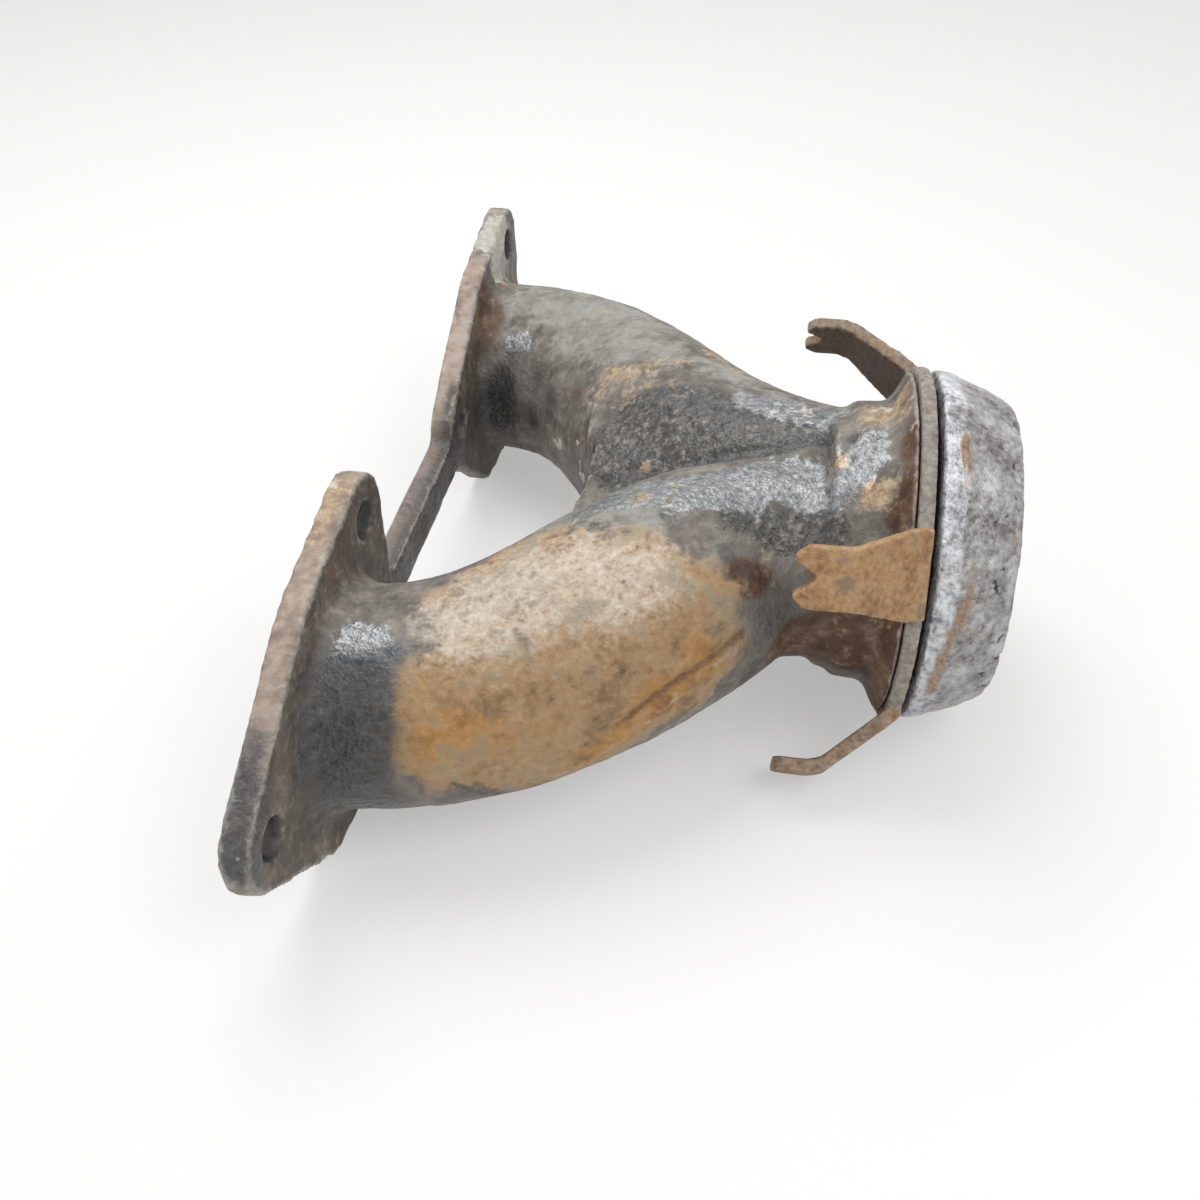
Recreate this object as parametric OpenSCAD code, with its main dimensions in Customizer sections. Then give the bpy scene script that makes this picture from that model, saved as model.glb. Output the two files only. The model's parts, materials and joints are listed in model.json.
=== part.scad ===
// Two-into-one cast iron exhaust pipe with its hook ring and donut gasket.
// Millimetres. Origin: centre of the near port on its mounting face.
// +X runs from the mounting faces to the outlet, +Y to the far port, +Z up.

/* [Flanges] */
// distance between the two port centres
port_pitch = 149; // [130:1:180]
// diameter of each port bore
port_bore = 43; // [34:0.5:46]
// thickness of each flange plate
flange_t = 6.6; // [5:0.2:12]
// radius of the round body of a flange
flange_body_r = 34.5; // [33:0.5:40]
// radius of the ears round the bolt holes
ear_r = 11.5; // [9:0.5:16]
// distance between the two bolt holes of a flange
bolt_spacing = 75; // [72:0.5:84]
// tilt of the line through the bolt holes
bolt_tilt = 20; // [10:1:30]
// height of that line above the port centre
bolt_rise = 18; // [14:0.5:22]
// diameter of the bolt holes
bolt_hole = 9; // [6.5:0.5:11]
// height of the bar that joins the flanges
bridge_h = 11.5; // [8:0.5:20]

/* [Pipes] */
// outer diameter of a pipe at its flange
pipe_od = 52; // [50:0.5:56]
// outer diameter of a pipe where the two meet
pipe_end_od = 60; // [56:0.5:62]
// wall of the cast pipes
wall = 4.5; // [3:0.1:6]
// height of the outlet above the port centres
outlet_rise = 10; // [6:0.5:16]
// sideways distance from the near port to the outlet
outlet_side = 60; // [52:0.5:70]

/* [Outlet] */
// distance from the mounting faces to the seat of the hook ring
seat_x = 130; // [120:0.5:150]
// diameter of the neck behind the band
neck_d = 65; // [64:0.5:70]
// diameter of the raised band round the neck
band_d = 69; // [66:0.5:76]
// diameter of the flared seat
seat_d = 85; // [80:0.5:96]
// diameter of the bore through the outlet
outlet_bore = 48; // [40:0.5:50]
// wall of the spigot that carries the gasket
spigot_wall = 3.2; // [2.5:0.1:5]

/* [Hook ring] */
// diameter of the hook ring
ring_d = 87; // [84:0.5:100]
// thickness of the ring's plate
ring_t = 3.3; // [2:0.1:5]
// gap between the ring and the spigot
ring_clear = 0.3; // [0.1:0.1:1]
// distance from the outlet's axis to the outside of the hooks
hook_r = 59.5; // [56:0.5:68]
// how far the hooks reach back from the ring
hook_reach = 29; // [24:0.5:36]
// width of a hook at its root
hook_root_w = 20; // [16:0.5:26]
// width of a hook at its forked end
hook_end_w = 13.4; // [10:0.2:18]
// depth of the notch in a hook's end
notch_d = 5.2; // [3:0.2:7]
// angle of the upper hooks above level
hook_up = 30; // [20:1:45]
// angle of the lower hooks below level
hook_down = 36; // [25:1:45]

/* [Gasket] */
// length of the donut gasket
gasket_len = 20.2; // [18:0.2:34]
// radius of the gasket's ball face
gasket_ball_r = 43.5; // [40:0.5:46]
// gap between the gasket and the spigot
gasket_clear = 0.2; // [0.1:0.1:1]
// width of the recessed shoulder beside the ring
shoulder_w = 1.5; // [1:0.5:5]

/* [Part] */
// which node to draw

/* [Hidden] */
$fn = 48;
sides = 28;
steps = 11;
eps = 0.2;

ring_r = ring_d / 2;
floor_z = outlet_rise - ring_r;
spigot_r = outlet_bore / 2 + spigot_wall;
ring_x1 = seat_x + ring_t;
gasket_x1 = ring_x1 + gasket_len;
spigot_x1 = gasket_x1 - 2;

// bolt hole centres of a flange, across and up from its port
tilt_u = [cos(bolt_tilt), sin(bolt_tilt)];
tilt_v = [-sin(bolt_tilt), cos(bolt_tilt)];
bolt_mid = tilt_v * bolt_rise - tilt_u * 2;
bolt_a = bolt_mid - tilt_u * bolt_spacing / 2;
bolt_b = bolt_mid + tilt_u * bolt_spacing / 2;

// pipe centre lines: start, two handles, end
neck_x = seat_x - 17;
near_end = [seat_x - 20.8, outlet_side - 4.6, outlet_rise + 1.5];
far_end = [neck_x - 0.7, outlet_side + 5.6, outlet_rise - 0.4];
near_dir = [cos(18), sin(18), 0];
far_dir = [cos(17), -sin(17), 0.04];
near_line = [[flange_t, 0, 0], [flange_t + 48, 0, 0], near_end - near_dir * 37, near_end];
far_line = [[flange_t, port_pitch, 0], [flange_t + 58, port_pitch, 0], far_end - far_dir * 55, far_end];

// share of each centre line that its pipe follows before the neck takes over
near_t = 0.86;
disc_t = 0.83;
far_t = 1;
// how the near pipe swells at the crotch and narrows again towards the neck
near_swell = 45.5;
near_pinch = 11.3;

function bez(q, t) = pow(1 - t, 3) * q[0] + 3 * pow(1 - t, 2) * t * q[1]
    + 3 * (1 - t) * t * t * q[2] + t * t * t * q[3];
function bez_dir(q, t) = pow(1 - t, 2) * (q[1] - q[0]) + 2 * (1 - t) * t * (q[2] - q[1])
    + t * t * (q[3] - q[2]);
function unit(v) = v / norm(v);
// radius of a pipe along its centre line
function swept_r(t, r0, r1, swell) = r0 + (r1 - r0) * t + swell * t * t * (1 - t);

// one ring of points across a pipe
function pipe_ring(q, t, r) =
    let (c = bez(q, t), d = unit(bez_dir(q, t)))
    let (s = unit(cross(d, [0, 0, 1])), u = cross(s, d))
    [for (i = [0:sides - 1]) c + r * (cos(360 * i / sides) * s + sin(360 * i / sides) * u)];

// a pipe that follows a centre line and changes radius along it
module sweep(q, t_end, r0, r1, swell) {
    ts = [for (k = [0:steps]) t_end * k / steps];
    pts = [for (t = ts) for (p = pipe_ring(q, t, swept_r(t, r0, r1, swell))) p];
    side_a = [for (k = [0:steps - 1]) for (i = [0:sides - 1])
        [k * sides + i, (k + 1) * sides + (i + 1) % sides, (k + 1) * sides + i]];
    side_b = [for (k = [0:steps - 1]) for (i = [0:sides - 1])
        [k * sides + i, k * sides + (i + 1) % sides, (k + 1) * sides + (i + 1) % sides]];
    cap_a = [[for (i = [0:sides - 1]) sides - 1 - i]];
    cap_b = [[for (i = [0:sides - 1]) steps * sides + i]];
    polyhedron(points = pts, faces = concat(side_a, side_b, cap_a, cap_b));
}

// cylinder or cone along +X
module rod_x(x0, x1, r0, r1, y, z) {
    translate([x0, y, z]) rotate([0, 90, 0]) cylinder(h = x1 - x0, r1 = r0, r2 = r1);
}

module flange_outline() {
    hull() {
        translate(bolt_a) circle(r = ear_r);
        translate(bolt_b) circle(r = ear_r);
        translate([2, floor_z + flange_body_r]) circle(r = flange_body_r);
        translate([-17, floor_z + ear_r + 2]) circle(r = ear_r);
    }
}

// lay a drawing in Y and Z flat against the mounting plane
module on_face(t) {
    rotate([90, 0, 90]) linear_extrude(height = t) children();
}

module flange(y) {
    translate([0, y, 0]) on_face(flange_t) flange_outline();
}

module bridge() {
    y0 = bolt_b[0];
    y1 = port_pitch + bolt_a[0];
    translate([0, y0, -0.5 - bridge_h / 2]) cube([flange_t, y1 - y0, bridge_h]);
}

// thin disc across a pipe's centre line
module disc(q, t, r) {
    d = unit(bez_dir(q, t));
    translate(bez(q, t)) rotate([0, acos(d[2]), atan2(d[1], d[0])]) cylinder(h = eps, r = r);
}

// cast web that fills the crotch between the two pipes, crest to crest
module web() {
    crests = [[52, 54, 15], [80, 56, 25], [seat_x - 26, outlet_side + 3, 36],
        [52, 89, 26], [90, 78, 37.5], [seat_x - 22, outlet_side + 14, 38.5]];
    difference() {
        hull() {
            for (c = crests) {
                translate([c[0], c[1], outlet_rise - 0.55 * c[2]])
                    cylinder(h = 1.55 * c[2] - outlet_rise, r = 3);
            }
        }
        translate([23, 68, -60]) cylinder(h = 120, r = 29);
    }
}

// both pipes and the start of the neck, solid
module pipe_solid(r_port, r_near, r_far, x0, x1, r_neck) {
    for (y = [0, port_pitch]) {
        rod_x(x0, flange_t + 1.5, r_port - 0.15, r_port - 0.15, y, 0);
    }
    sweep(near_line, near_t, r_port, r_near, near_swell);
    sweep(far_line, far_t, r_port, r_far, 5);
    hull() {
        disc(near_line, disc_t, swept_r(disc_t, r_port, r_near, near_swell) + 0.2);
        rod_x(neck_x - 1.4, x1 - 0.2, r_neck - 5.8, r_neck - 5.8, outlet_side - 5.4, outlet_rise);
    }
    rod_x(neck_x - 1, x1, r_neck, r_neck, outlet_side, outlet_rise);
}

// the pipes, hollow, taken whole as one faceted shell
module pipes() {
    $fn = sides;
    end_r = pipe_end_od / 2;
    duct_port = port_bore / 2 + 0.5;
    resize([0, 0, 0]) difference() {
        union() {
            pipe_solid(pipe_od / 2, end_r - near_pinch, end_r - 0.2, flange_t - 0.5, neck_x + 0.5,
                neck_d / 2 - 0.5);
            web();
        }
        pipe_solid(duct_port, end_r - near_pinch - wall, end_r - wall - 0.5, flange_t - 1, neck_x + 12,
            neck_d / 2 - wall - 0.8);
    }
}

module flanges() {
    difference() {
        union() {
            flange(0);
            flange(port_pitch);
            bridge();
        }
        for (y = [0, port_pitch]) {
            rod_x(-1, flange_t + 1, port_bore / 2, port_bore / 2, y, 0);
            for (b = [bolt_a, bolt_b]) {
                rod_x(-1, flange_t + 1, bolt_hole / 2, bolt_hole / 2, y + b[0], b[1]);
            }
        }
    }
}

// half section of the neck, band, flare and spigot: radius, then distance along the axis
module neck_section() {
    bore_r = outlet_bore / 2;
    polygon([[neck_d / 2, neck_x], [neck_d / 2, seat_x - 13.6], [band_d / 2, seat_x - 13],
        [band_d / 2 + 0.4, seat_x - 5], [band_d / 2 + 1.4, seat_x - 4], [seat_d / 2, seat_x - 0.8],
        [seat_d / 2, seat_x], [spigot_r, seat_x], [spigot_r, spigot_x1], [bore_r, spigot_x1],
        [bore_r, neck_x + 7], [neck_d / 2 - wall - 1.5, neck_x]]);
}

module neck() {
    translate([0, outlet_side, outlet_rise]) rotate([0, 90, 0])
        rotate_extrude() neck_section();
}

module casting() {
    color("#5a4638") union() {
        pipes();
        flanges();
        neck();
    }
}

// one hook, standing out from the ring towards +Z of its own frame
module hook() {
    bend_x = seat_x - 15.5;
    tip_x = ring_x1 - hook_reach;
    inner_r = hook_r - ring_t;
    root = ring_r - 3;
    intersection() {
        translate([0, hook_root_w / 2, 0]) rotate([90, 0, 0])
            linear_extrude(height = hook_root_w)
                polygon([[ring_x1, root], [ring_x1, ring_r + 0.8], [ring_x1 - 1.2, ring_r + 2],
                    [bend_x + 2.5, hook_r - 0.9], [bend_x - 1, hook_r], [tip_x, hook_r],
                    [tip_x, inner_r], [bend_x - 1.5, inner_r], [bend_x + 1.5, inner_r - 1],
                    [seat_x - 0.2, ring_r - 0.5], [seat_x, ring_r - 1.2], [seat_x, root]]);
        translate([0, 0, root - 1]) linear_extrude(height = hook_r)
            polygon([[ring_x1 + 1, hook_root_w / 2], [seat_x - 1, hook_root_w / 2],
                [bend_x + 2, hook_end_w / 2], [tip_x + 2.6, hook_end_w / 2], [tip_x, 4.4],
                [tip_x, 3.4], [tip_x + notch_d, 0], [tip_x, -3.4],
                [tip_x, -4.4], [tip_x + 2.6, -hook_end_w / 2], [bend_x + 2, -hook_end_w / 2],
                [seat_x - 1, -hook_root_w / 2], [ring_x1 + 1, -hook_root_w / 2]]);
    }
}

module hook_ring() {
    color("#8a5a38") difference() {
        union() {
            rod_x(seat_x, ring_x1, ring_r, ring_r, outlet_side, outlet_rise);
            for (a = [90 - hook_up, hook_up - 90, 90 + hook_down, -90 - hook_down]) {
                translate([0, outlet_side, outlet_rise]) rotate([a, 0, 0]) hook();
            }
        }
        rod_x(seat_x - 1, ring_x1 + 1, spigot_r + ring_clear, spigot_r + ring_clear,
            outlet_side, outlet_rise);
    }
}

// half section of the gasket: distance along the axis, then radius
module gasket_section() {
    back = 4.2;
    a0 = asin((shoulder_w + back) / gasket_ball_r);
    a1 = asin((gasket_len + back) / gasket_ball_r);
    ri = spigot_r + gasket_clear;
    polygon(concat(
        [[ri, 0], [gasket_ball_r - 4, 0], [gasket_ball_r - 4, shoulder_w]],
        [for (i = [0:10]) let (a = a0 + (a1 - a0) * i / 10)
            [gasket_ball_r * cos(a), gasket_ball_r * sin(a) - back]],
        [[ri, gasket_len]]));
}

module donut_gasket() {
    color("#8d8a86") translate([ring_x1, outlet_side, outlet_rise]) rotate([0, 90, 0])
        rotate_extrude() gasket_section();
}

casting();
hook_ring();
donut_gasket();
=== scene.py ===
# %% [markdown]
# # A rusted two-into-one exhaust casting
# The object is a cast iron exhaust piece: two flanged ports run into one neck, and the neck carries a
# stamped ring with four spring hooks and a donut gasket. The measured solids come from the CAD frame.
# This lesson gives each of them the rounded, pitted, rusted surface that years of heat and road salt
# leave behind, and then lights them plainly on a pale floor.

# %% Load the frame
import json
import math

import bmesh
import bpy
import numpy as np
from mathutils import Euler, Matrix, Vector, noise


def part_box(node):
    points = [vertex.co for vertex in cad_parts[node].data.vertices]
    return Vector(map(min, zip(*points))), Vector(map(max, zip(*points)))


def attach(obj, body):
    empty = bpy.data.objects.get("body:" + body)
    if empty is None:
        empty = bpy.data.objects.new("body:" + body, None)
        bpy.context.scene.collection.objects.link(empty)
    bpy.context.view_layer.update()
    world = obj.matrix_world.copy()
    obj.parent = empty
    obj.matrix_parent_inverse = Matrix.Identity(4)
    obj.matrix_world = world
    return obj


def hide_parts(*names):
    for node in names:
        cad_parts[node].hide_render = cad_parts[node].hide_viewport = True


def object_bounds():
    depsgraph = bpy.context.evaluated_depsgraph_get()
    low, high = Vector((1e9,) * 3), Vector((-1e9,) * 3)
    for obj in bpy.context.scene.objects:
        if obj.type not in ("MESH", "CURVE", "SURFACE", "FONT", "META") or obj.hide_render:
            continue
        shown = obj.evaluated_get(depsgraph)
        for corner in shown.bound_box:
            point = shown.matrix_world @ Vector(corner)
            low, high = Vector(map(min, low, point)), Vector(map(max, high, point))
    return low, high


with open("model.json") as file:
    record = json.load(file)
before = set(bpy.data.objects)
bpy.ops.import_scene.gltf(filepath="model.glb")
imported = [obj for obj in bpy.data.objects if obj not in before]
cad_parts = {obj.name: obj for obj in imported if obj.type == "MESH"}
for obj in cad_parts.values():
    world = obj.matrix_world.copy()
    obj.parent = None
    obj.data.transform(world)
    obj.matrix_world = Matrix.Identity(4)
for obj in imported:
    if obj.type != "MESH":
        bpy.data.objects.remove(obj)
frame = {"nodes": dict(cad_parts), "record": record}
CAD_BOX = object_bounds()
LOW, HIGH = (Vector(corner) for corner in CAD_BOX)
print("nodes:", sorted(frame["nodes"]), "box in mm:", [round(v * 1000, 1) for v in (*LOW, *HIGH)])

# %% [markdown]
# ## Measures
# Every place below is in metres in the frame of the part: the near port's centre is the origin, +X runs
# to the outlet and +Z is up. The ports, the bolt holes and the outlet are read from the frame's record,
# so that stains and fillets follow them. The pipe's radius and the seat's place aren't in the record, so
# they are repeated here. A helper named mm keeps the other numbers readable.

# %% Name the sizes
def mm(*values):
    """Millimetres to metres, as one number or as a vector."""
    return values[0] * 0.001 if len(values) == 1 else Vector(values) * 0.001


MOUNTS = {mount["name"]: mount for mount in frame["record"]["mounts"]}


def place(name):
    """Where a mount of the part lies."""
    return Vector(MOUNTS[name]["pos_m"])


PORTS = (place("near_port"), place("far_port"))
PORT_R = mm(MOUNTS["near_port"]["dims"]["r_mm"])
FLANGE_T = mm(MOUNTS["near_port"]["dims"]["length_mm"])
OUTLET = place("outlet")
PIPE_R = mm(26)
SEAT_X = mm(130)
print("flange", round(FLANGE_T * 1000, 1), "mm thick; ports at", [tuple(port) for port in PORTS])

# %% [markdown]
# ## The camera
# The camera stands a little above and in front of the near flange. It is made first, because every
# later choice of light and finish is judged through it.

# %% Set the camera
eye = bpy.data.cameras.new("eye")
eye.lens = 33.934
eye.sensor_width = 36
eye.shift_x = -0.01599
eye.shift_y = -0.01488
camera = bpy.data.objects.new("camera", eye)
camera.location = (0.09660, -0.16761, 0.18929)
camera.rotation_euler = Euler([math.radians(a) for a in (48.945, 0.548, 8.540)])
bpy.context.scene.collection.objects.link(camera)
bpy.context.scene.camera = camera
print("camera", [round(v, 3) for v in camera.location], "lens", eye.lens)

# %% [markdown]
# ## The floor
# The part lies on a plain pale floor. A bright floor could be made with more light, but that would bleach
# the iron as well. Here the floor shows a share of plain white to the camera, to mirrors and to glass, and
# its own pale colour for the rest, so that the shadow under the part still shows.

# %% Lay the floor
FLOOR_HALF, FLOOR_WHITE = 3.0, 0.4


def white_floor():
    """A flat sheet wide enough to reach past the view, at the height the part rests on."""
    bm = bmesh.new()
    bmesh.ops.create_grid(bm, x_segments=1, y_segments=1, size=FLOOR_HALF)
    bmesh.ops.translate(bm, verts=bm.verts, vec=(0.07, 0.07, LOW.z))
    mesh = bpy.data.meshes.new("floor")
    bm.to_mesh(mesh)
    bm.free()
    floor = bpy.data.objects.new("floor", mesh)
    bpy.context.scene.collection.objects.link(floor)
    return floor


def seen_directly(tree):
    """1 where a camera, mirror or glass ray looks, and 0 where light is only gathered."""
    rays = tree.nodes.new("ShaderNodeLightPath")
    total = rays.outputs["Is Camera Ray"]
    for kind in ("Is Glossy Ray", "Is Transmission Ray"):
        either = tree.nodes.new("ShaderNodeMath")
        either.operation = "MAXIMUM"
        tree.links.new(total, either.inputs[0])
        tree.links.new(rays.outputs[kind], either.inputs[1])
        total = either.outputs[0]
    return total


def scaled(tree, value, low, high):
    """Turn 0 to 1 into low to high."""
    level = tree.nodes.new("ShaderNodeMapRange")
    level.inputs["To Min"].default_value = low
    level.inputs["To Max"].default_value = high
    tree.links.new(value, level.inputs["Value"])
    return level.outputs["Result"]


floor = white_floor()
chalk = bpy.data.materials.new("pale_floor")
chalk.use_nodes = True
tree = chalk.node_tree
paint = tree.nodes["Principled BSDF"]
paint.inputs["Base Color"].default_value = (0.93, 0.93, 0.925, 1)
paint.inputs["Roughness"].default_value = 0.85
white = tree.nodes.new("ShaderNodeEmission")
mixed = tree.nodes.new("ShaderNodeMixShader")
tree.links.new(scaled(tree, seen_directly(tree), 0.0, FLOOR_WHITE), mixed.inputs[0])
tree.links.new(paint.outputs[0], mixed.inputs[1])
tree.links.new(white.outputs[0], mixed.inputs[2])
tree.links.new(mixed.outputs[0], tree.nodes["Material Output"].inputs["Surface"])
floor.data.materials.append(chalk)
print("floor at z =", round(LOW.z * 1000, 1), "mm")

# %% [markdown]
# ## The light
# Three wide lamps hang round the part: a large one over its back, a smaller one at the front window's
# side and a weak one that fills the left. With the world they light a level surface to about its own
# written colour, so that rust looks like rust under any other light too. The camera, mirrors and glass
# see the world at full white, and it lights the iron with half of that.

# %% Hang the lamps
def soft_lamp(name, watts, size, at, aim):
    """A square lamp at one place, turned to shine at another."""
    light = bpy.data.lights.new(name, "AREA")
    light.energy = watts
    light.size = size
    lamp = bpy.data.objects.new(name, light)
    lamp.location = at
    lamp.rotation_euler = (Vector(aim) - Vector(at)).to_track_quat("-Z", "Y").to_euler()
    bpy.context.scene.collection.objects.link(lamp)
    return lamp


MIDDLE = (LOW + HIGH) / 2
WORLD_LIGHT, WORLD_SEEN = 0.5, 1.0
soft_lamp("skylight", 3.1, 0.50, (-0.10, 0.29, 0.70), MIDDLE)
soft_lamp("front_window", 1.0, 0.30, (0.38, -0.18, 0.55), MIDDLE)
soft_lamp("left_fill", 0.5, 0.5, (-0.45, -0.35, 0.45), MIDDLE)

world = bpy.data.worlds.new("studio")
bpy.context.scene.world = world
world.use_nodes = True
sky = world.node_tree
strength = scaled(sky, seen_directly(sky), WORLD_LIGHT, WORLD_SEEN)
sky.links.new(strength, sky.nodes["Background"].inputs["Strength"])
sky.nodes["Background"].inputs["Color"].default_value = (1, 1, 1, 1)
bpy.context.scene.view_settings.view_transform = "Standard"

# %% [markdown]
# ## From sharp solids to a cast skin
# A casting has no sharp edges: sand and shrinkage round each one, and the metal flows from shape to
# shape in fillets. One way would be to bevel each edge, but the edges where two pipes run together
# are ragged. A voxel remesh turns the whole solid into one even skin instead, and a little smoothing
# then rounds all its edges alike. The copy is merged first, because a CAD node is loose triangles.

# %% Copy, remesh and smooth
def merged_copy(node, name):
    """A bmesh of a CAD node with its loose triangles joined into one shell."""
    bm = bmesh.new()
    bm.from_mesh(frame["nodes"][node].data)
    bmesh.ops.remove_doubles(bm, verts=bm.verts, dist=1e-6)
    print(name, "starts with", len(bm.faces), "faces")
    return bm


def piece_from(bm, name):
    """Put a bmesh into a new object of the scene."""
    mesh = bpy.data.meshes.new(name)
    bm.to_mesh(mesh)
    bm.free()
    piece = bpy.data.objects.new(name, mesh)
    bpy.context.scene.collection.objects.link(piece)
    return piece


def reskin(piece, voxel):
    """Replace the piece's faces with one even skin of small squares."""
    remesh = piece.modifiers.new("skin", "REMESH")
    remesh.mode = "VOXEL"
    remesh.voxel_size = voxel
    bpy.context.view_layer.update()
    found = piece.evaluated_get(bpy.context.evaluated_depsgraph_get())
    skin = bpy.data.meshes.new_from_object(found)
    piece.modifiers.clear()
    old = piece.data
    piece.data = skin
    skin.name = piece.name
    bpy.data.meshes.remove(old)
    print(piece.name, "reskinned:", len(skin.polygons), "squares of", voxel * 1000, "mm")


def smooth(piece, rounds):
    """Pull each point halfway towards its neighbours, so many times."""
    bm = bmesh.new()
    bm.from_mesh(piece.data)
    for _ in range(rounds):
        bmesh.ops.smooth_vert(bm, verts=bm.verts, factor=0.5,
                              use_axis_x=True, use_axis_y=True, use_axis_z=True)
    bm.to_mesh(piece.data)
    bm.free()

# %% [markdown]
# ## The roots of the pipes
# The root of each pipe swells into its flange in a small hollow curve. It is a ring turned from a
# wire profile, laid over the joint, and the remesh melts it into the rest. A bevel of the joint's edge
# would do on a clean model, but this edge is cut up by the bar and the ears.

# %% Turn the root fillets
def root_fillet(bm, port, reach):
    """Spin a hollow-cornered profile round a port's axis, partly inside the pipe and the flange."""
    steps, x0, r0 = 6, FLANGE_T - mm(1), PIPE_R - mm(1.6)
    corner = [(x0, r0), (x0, PIPE_R + reach), (FLANGE_T, PIPE_R + reach)]
    for k in range(1, steps):
        turn = math.radians(90 * k / steps)
        corner.append((FLANGE_T + reach * (1 - math.cos(turn)), PIPE_R + reach * (1 - math.sin(turn))))
    corner += [(FLANGE_T + reach, PIPE_R), (FLANGE_T + reach, r0)]
    verts = [bm.verts.new(port + Vector((x, 0, r))) for x, r in corner]
    edges = [bm.edges.new((a, b)) for a, b in zip(verts, verts[1:] + verts[:1])]
    before = len(bm.faces)
    bmesh.ops.spin(bm, geom=verts + edges, cent=port, axis=(1, 0, 0), angle=math.tau, steps=64,
                   use_merge=True)
    bm.faces.ensure_lookup_table()
    bmesh.ops.recalc_face_normals(bm, faces=bm.faces[before:])
    print("fillet of", len(bm.faces) - before, "faces")


FILLET, CAST_SQUARE = mm(4.5), mm(1.28)
bm = merged_copy("casting", "iron_casting")
for port in PORTS:
    root_fillet(bm, port, FILLET)
casting = piece_from(bm, "iron_casting")
reskin(casting, CAST_SQUARE)
smooth(casting, 2)

# %% [markdown]
# ## Helpers for uneven metal
# No cast wall is even. Sculpting would do, but it can't be written down, so the lumps are numbers: each
# helper gives one number for every point of a skin, from soft noise, from a spot in space or from a line
# drawn through places. The next cells add them up and move the points along their normals.

# %% Read and move the points of a skin
def points_of(piece):
    """The points of a mesh and their normals, as arrays."""
    mesh = piece.data
    co = np.zeros(len(mesh.vertices) * 3)
    no = np.zeros(len(mesh.vertices) * 3)
    mesh.vertices.foreach_get("co", co)
    mesh.vertex_normals.foreach_get("vector", no)
    return co.reshape(-1, 3), no.reshape(-1, 3)


def lumps(co, size, depth, seed):
    """Soft noise between about -1 and 1 with features of one size, one value for each point."""
    shift = Vector((seed, seed * 0.7, -seed))
    return np.array([noise.fractal(Vector(p) / size + shift, 0.9, 2.1, depth) for p in co])


def ease(value, low, high):
    """0 below low, 1 above high and a smooth rise between."""
    t = np.clip((value - low) / (high - low), 0, 1)
    return t * t * (3 - 2 * t)


def near(co, spot, reach, squash=(1, 1, 1)):
    """1 at a spot, falling softly to 0 at about twice the reach."""
    gap = (co - np.array(spot)) / np.array(squash)
    return np.exp(-(gap ** 2).sum(1) / (reach * reach))


def stain(co, spots, squash=(1, 1, 1)):
    """The sum of soft spots, each given as x, y, z, reach and strength in millimetres."""
    total = np.zeros(len(co))
    for x, y, z, reach, strength in spots:
        total += strength * near(co, mm(x, y, z), mm(reach), squash)
    return total


def along(co, line):
    """Distance from each point to a line drawn through places given in millimetres."""
    best = np.full(len(co), 1.0)
    for start, end in zip(line, line[1:]):
        a, run = np.array(mm(*start)), np.array(mm(*end)) - np.array(mm(*start))
        share = np.clip((co - a) @ run / (run @ run), 0, 1)
        best = np.minimum(best, np.linalg.norm(co - a - share[:, None] * run, axis=1))
    return best


def put_back(piece, co, low, high):
    """Store moved points, held inside the piece's measured box."""
    held = np.clip(co, np.array(low), np.array(high))
    piece.data.vertices.foreach_set("co", held.ravel())
    piece.data.update()


co, no = points_of(casting)
print("the casting has", len(co), "points, each with a normal to move along")

# %% [markdown]
# ## Lines and spots on the casting
# A flash line runs along the near pipe where the two halves of the mould met, with a crack-like crease
# above it, and a seam shows where the near pipe joins the web. The web itself is the coarsest skin of all,
# because the sand burnt on there. Lines are given as places on them, and spots as x, y, z, reach and
# strength, in millimetres.

# %% Mark the lines and the coarse web
WEB = [(63, 80, 30, 8, 0.9), (72, 79, 33, 8, 1.0), (81, 77, 35, 7, 1.0), (89, 66, 36, 8, 1.0),
       (97, 66, 37, 7, 1.0), (104, 64, 38, 5, 0.9), (82, 66, 32, 9, 1.0), (72, 68, 28, 9, 1.0),
       (62, 69, 25, 9, 1.0), (68, 62, 24, 8, 0.9), (56, 72, 22, 7, 0.9), (58, 70, 8, 12, 0.9),
       (110, 63, 39, 4, 0.8), (98, 62, 37, 5, 0.8), (99, 35, 31, 6, 0.9), (107, 36, 31, 6, 0.9),
       (113, 36, 31, 5, 0.8), (90, 34, 34, 5, 0.8), (76, 31, 35, 4, 0.5)]
FLASH = [(56, -12, -7), (64, -8, -3), (71, -5, 0), (75, -2, 2), (81, 2, 7), (87, 8, 11), (93, 14, 13)]
CREASE = [(69, -5, 4), (73, -3, 6.6), (77, 0, 9), (81, 3, 11), (84, 5, 12), (90, 10, 14), (95, 16, 16)]
SEAM = [(56, 61, 20), (63, 62, 23), (75, 58, 29), (87, 58, 33.5), (98, 59, 36), (107, 60, 37.5),
        (114, 60, 40)]
print("web of", len(WEB), "spots; lines of", len(FLASH), len(CREASE), len(SEAM), "places")

# %% [markdown]
# ## Lumps, grain and scars
# Broad lumps come from the sand mould, the coarse grain from its surface, and the pits and scabs from
# rust that has lifted and fallen off. Each is noise of one size, added along the normals. The mounting
# faces were machined flat and the seat is smooth, so there the skin only sinks a little.

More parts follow.
